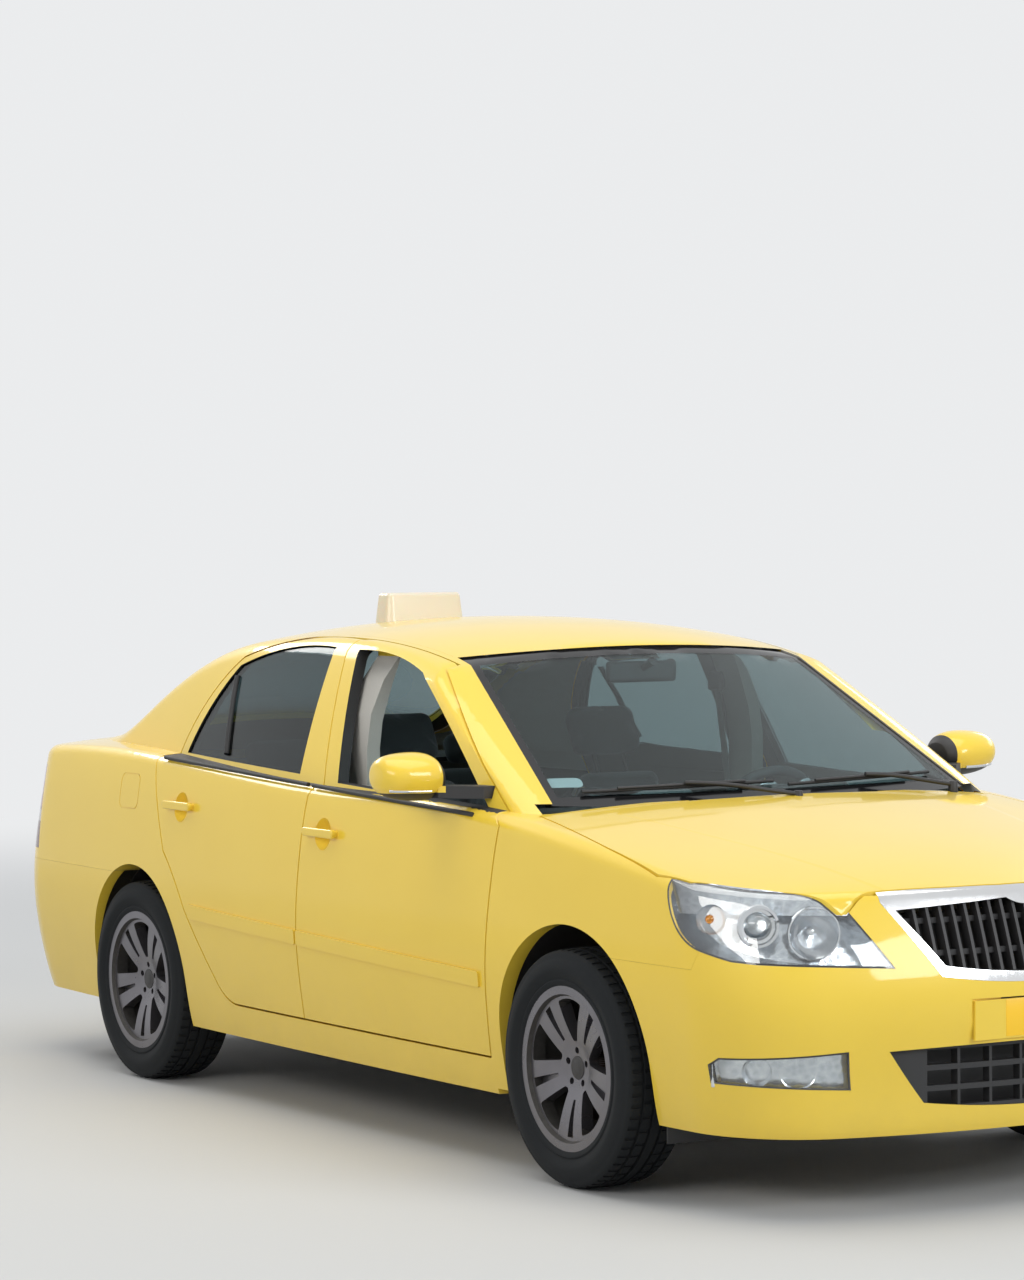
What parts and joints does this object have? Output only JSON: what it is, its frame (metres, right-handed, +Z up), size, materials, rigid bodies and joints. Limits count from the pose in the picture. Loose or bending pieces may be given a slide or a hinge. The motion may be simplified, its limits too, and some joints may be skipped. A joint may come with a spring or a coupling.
{
  "type": "taxi cab",
  "caption": "Five-door liftback taxi saloon with a blank roof sign, opening doors, bonnet and tailgate, steered front wheels on knuckles and a hollow furnished cabin.",
  "frame": {"origin": "on the ground under the middle of the body's length and width", "axes": "+X forward towards the bonnet, +Y to the car's left, +Z up"},
  "size_m": [4.5715, 2.116, 1.544],
  "materials": {
    "paint": "gloss",
    "inner_paint": "satin",
    "chrome_trim": "polished",
    "black_trim": "matt",
    "clear_lamp": "clear",
    "red_lamp": "gloss",
    "window_glass": "tinted",
    "sign_plastic": "satin",
    "plate_yellow": "satin",
    "seat_cloth": "woven",
    "shelf_cloth": "felt",
    "dash_plastic": "grained",
    "under_metal": "dull",
    "engine_metal": "cast",
    "tank_plastic": "matt",
    "alloy": "satin",
    "tyre_rubber": "matt"
  },
  "bodies": {
    "chassis": {"body_side_right": "paint", "body_side_left": "paint", "roof": "paint", "floor_pan": "inner_paint", "front_frame": "inner_paint", "wheel_liners": "black_trim", "cowl": "black_trim", "front_fender_right": "paint", "front_fender_left": "paint", "front_bumper": "paint", "rear_bumper": "paint", "grille_surround": "chrome_trim", "grille_slats": "black_trim", "lower_grille": "black_trim", "headlamps": "clear_lamp", "fog_lamps": "clear_lamp", "tail_lamps": "red_lamp", "windscreen": "window_glass", "dashboard": "dash_plastic", "front_seats": "seat_cloth", "rear_bench": "seat_cloth", "parcel_shelf": "shelf_cloth", "engine_block": "engine_metal", "radiator": "under_metal", "front_subframe": "under_metal", "rear_axle_beam": "under_metal", "fuel_tank": "tank_plastic", "exhaust": "under_metal", "roof_sign": "sign_plastic", "front_plate": "plate_yellow"},
    "bonnet": {"bonnet": "paint"},
    "tailgate": {"tailgate": "paint", "rear_glass": "window_glass", "rear_plate": "plate_yellow"},
    "front_door_right": {"front_door_right": "paint", "mirror_right": "paint"},
    "front_door_left": {"front_door_left": "paint", "front_door_glass_left": "window_glass", "mirror_left": "paint"},
    "rear_door_right": {"rear_door_right": "paint", "rear_door_glass_right": "window_glass"},
    "rear_door_left": {"rear_door_left": "paint", "rear_door_glass_left": "window_glass"},
    "knuckle_right": {"knuckle_right": "under_metal"},
    "knuckle_left": {"knuckle_left": "under_metal"},
    "steering_wheel": {"steering_wheel": "dash_plastic"},
    "wheel_front_right": {"tyre_front_right": "tyre_rubber", "rim_front_right": "alloy"},
    "wheel_front_left": {"tyre_front_left": "tyre_rubber", "rim_front_left": "alloy"},
    "wheel_rear_right": {"tyre_rear_right": "tyre_rubber", "rim_rear_right": "alloy"},
    "wheel_rear_left": {"tyre_rear_left": "tyre_rubber", "rim_rear_left": "alloy"}
  },
  "joints": [
    {"name": "bonnet_hinge", "type": "hinge", "parent": "chassis", "child": "bonnet", "pos_m": [1.095, 0, 0.985], "axis": [0, -1, 0], "range_deg": [0, 55]},
    {"name": "tailgate_hinge", "type": "hinge", "parent": "chassis", "child": "tailgate", "pos_m": [-1.025, 0, 1.412], "axis": [0, 1, 0], "range_deg": [0, 75]},
    {"name": "front_door_right_hinge", "type": "hinge", "parent": "chassis", "child": "front_door_right", "pos_m": [0.937, -0.872, 0.6], "axis": [0, 0, 1], "range_deg": [0, 65]},
    {"name": "front_door_left_hinge", "type": "hinge", "parent": "chassis", "child": "front_door_left", "pos_m": [0.937, 0.872, 0.6], "axis": [0, 0, 1], "range_deg": [-65, 0]},
    {"name": "rear_door_right_hinge", "type": "hinge", "parent": "chassis", "child": "rear_door_right", "pos_m": [-0.118, -0.872, 0.6], "axis": [0, 0, 1], "range_deg": [0, 65]},
    {"name": "rear_door_left_hinge", "type": "hinge", "parent": "chassis", "child": "rear_door_left", "pos_m": [-0.118, 0.872, 0.6], "axis": [0, 0, 1], "range_deg": [-65, 0]},
    {"name": "steer_left", "type": "hinge", "parent": "chassis", "child": "knuckle_left", "pos_m": [1.3695, 0.715, 0.316], "axis": [0, -0.2079, 0.9781], "range_deg": [-35, 35]},
    {"name": "steer_right", "type": "hinge", "parent": "chassis", "child": "knuckle_right", "pos_m": [1.3695, -0.715, 0.316], "axis": [0, 0.2079, 0.9781], "range_deg": [-35, 35]},
    {"name": "steering_wheel_turn", "type": "hinge", "parent": "chassis", "child": "steering_wheel", "pos_m": [0.52, 0.37, 0.85], "axis": [-0.9063, 0, 0.4226], "range_deg": [-540, 540]},
    {"name": "wheel_front_right_spin", "type": "hinge", "parent": "knuckle_right", "child": "wheel_front_right", "pos_m": [1.3695, -0.7705, 0.316], "axis": [0, 1, 0], "continuous": true},
    {"name": "wheel_front_left_spin", "type": "hinge", "parent": "knuckle_left", "child": "wheel_front_left", "pos_m": [1.3695, 0.7705, 0.316], "axis": [0, 1, 0], "continuous": true},
    {"name": "wheel_rear_right_spin", "type": "hinge", "parent": "chassis", "child": "wheel_rear_right", "pos_m": [-1.2085, -0.757, 0.316], "axis": [0, 1, 0], "continuous": true},
    {"name": "wheel_rear_left_spin", "type": "hinge", "parent": "chassis", "child": "wheel_rear_left", "pos_m": [-1.2085, 0.757, 0.316], "axis": [0, 1, 0], "continuous": true}
  ],
  "couplings": [
    {"joint": "steer_right", "follows": "steer_left", "ratio": 1},
    {"joint": "steering_wheel_turn", "follows": "steer_left", "ratio": 15.4}
  ]
}
